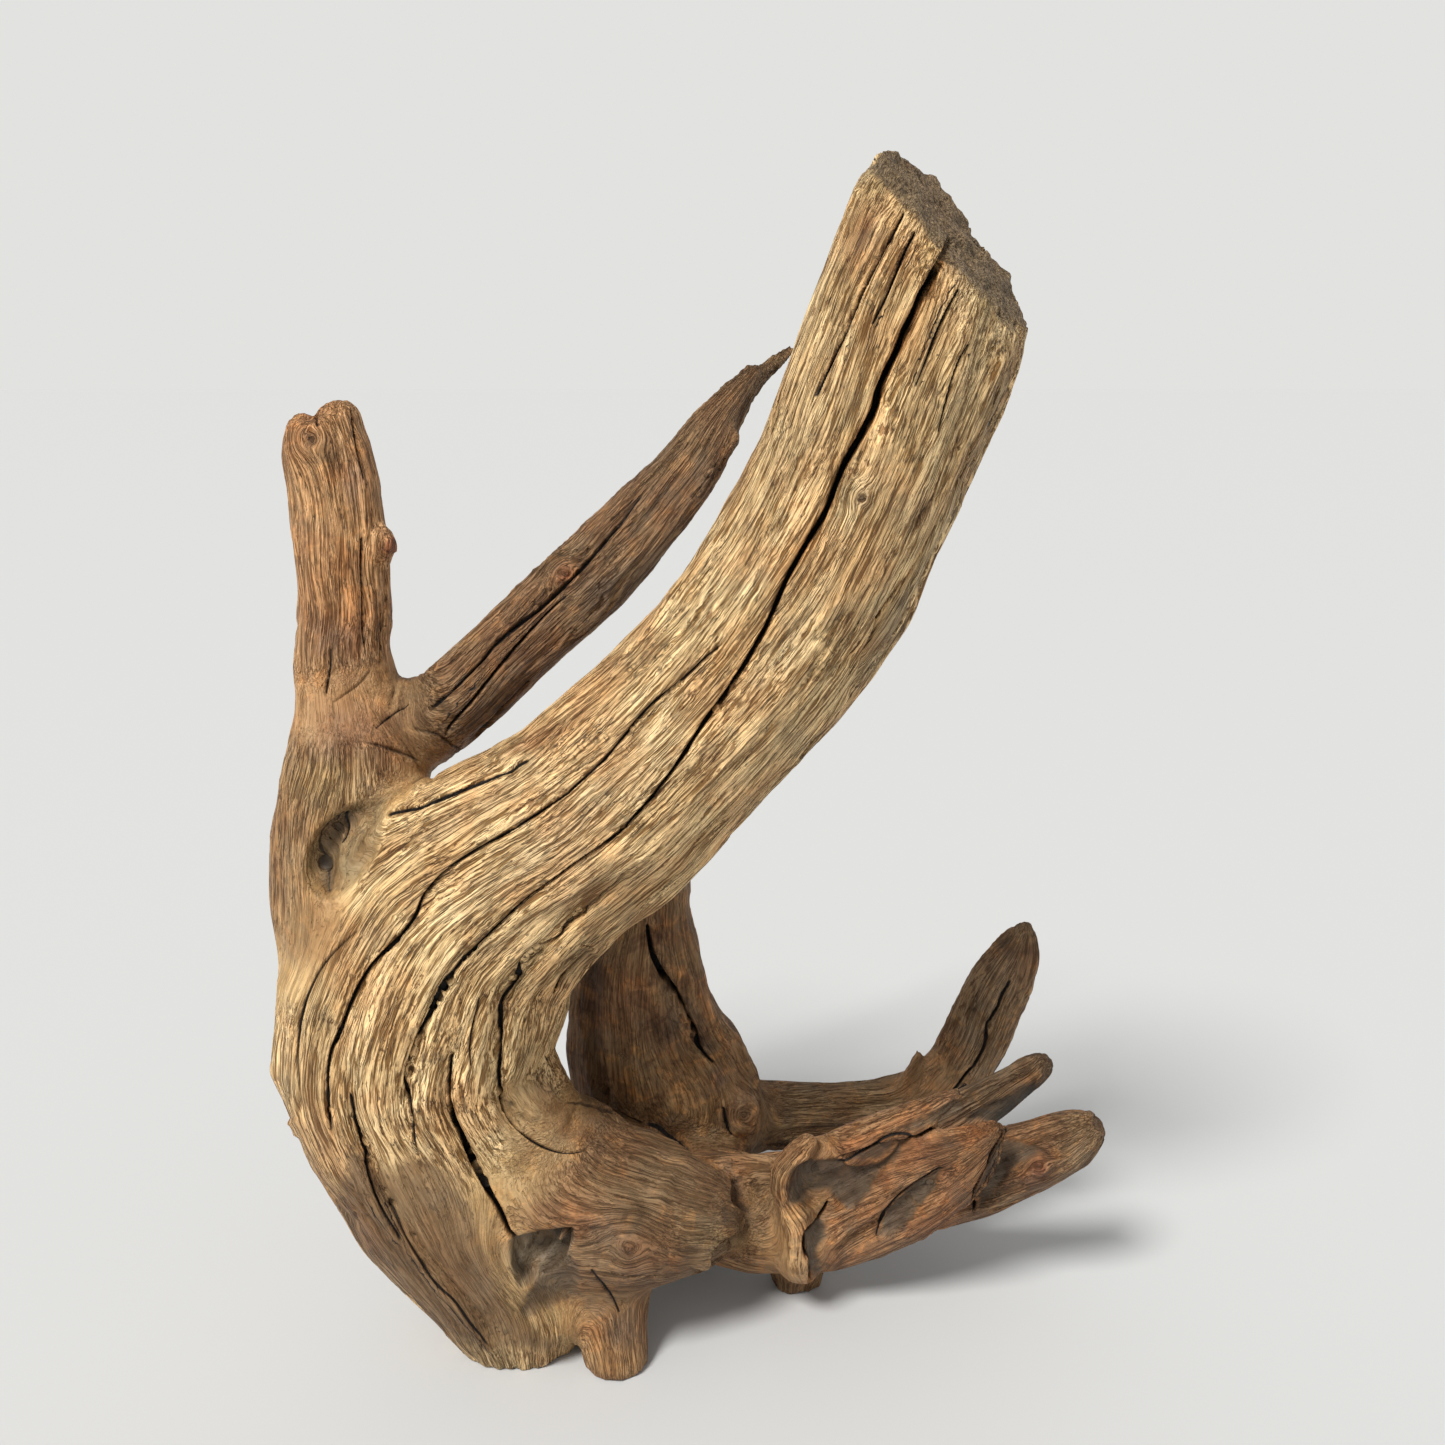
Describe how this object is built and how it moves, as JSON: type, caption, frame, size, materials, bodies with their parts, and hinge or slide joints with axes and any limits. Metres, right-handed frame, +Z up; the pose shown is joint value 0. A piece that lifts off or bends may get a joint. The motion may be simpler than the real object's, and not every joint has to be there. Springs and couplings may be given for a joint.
{
  "type": "branching driftwood",
  "caption": "Weathered driftwood that stands on its roots: a leaning trunk with a stub and a slender branch, and spreading root arms with upturned prongs.",
  "frame": {"origin": "middle of the bounding box on the floor under the feet", "axes": "+Z up from the floor, +X to the right towards the prongs, +Y away from the side that is seen in the picture"},
  "size_m": [0.4348, 0.226, 0.5903],
  "materials": {
    "trunk_wood": "bare weathered wood, pale golden tan, grooved along the grain",
    "stub_wood": "bare weathered wood, mid brown",
    "branch_wood": "bare weathered wood, olive brown with grey grooves",
    "rear_root_wood": "bare weathered wood, dark brown with grey patches",
    "front_root_wood": "bare weathered wood, orange brown ridges with dark grey hollows",
    "back_root_wood": "bare weathered wood, grey brown"
  },
  "bodies": {
    "root": {"trunk": "trunk_wood", "upright_stub": "stub_wood", "slender_branch": "branch_wood", "rear_root": "rear_root_wood", "front_root": "front_root_wood", "low_prong": "front_root_wood", "middle_prong": "front_root_wood", "back_root": "back_root_wood"}
  },
  "joints": []
}
